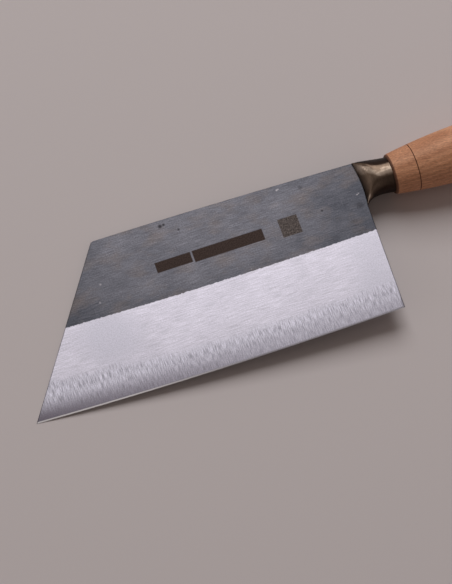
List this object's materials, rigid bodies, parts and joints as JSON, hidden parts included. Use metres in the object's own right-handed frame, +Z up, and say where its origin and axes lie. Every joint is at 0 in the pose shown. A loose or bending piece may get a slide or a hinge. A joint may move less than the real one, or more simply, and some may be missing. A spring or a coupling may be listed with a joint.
{
  "type": "bunka knife",
  "caption": "Tall K-tip kitchen knife with a laminated, half-blackened blade, a cast brass bolster and a round turned wooden handle.",
  "frame": {"origin": "middle of the bounding box's bottom, on the surface that the knife lies on", "axes": "+X along the knife to the butt, +Y from the cutting edge to the spine, +Z up, out of the blade's left face"},
  "size_m": [0.337, 0.0936, 0.0337],
  "materials": {
    "core_steel": "hazy, stone-ground, with a bright edge bevel",
    "cladding_iron": "forge-blackened above, ground bright below",
    "cast_brass": "cast and filed smooth, dulled with age",
    "turned_wood": "turned and oiled",
    "washer_steel": "plain"
  },
  "bodies": {
    "root": {"steel_core": "core_steel", "left_cladding": "cladding_iron", "right_cladding": "cladding_iron", "bolster": "cast_brass", "handle": "turned_wood", "butt_washer": "washer_steel"}
  },
  "joints": []
}
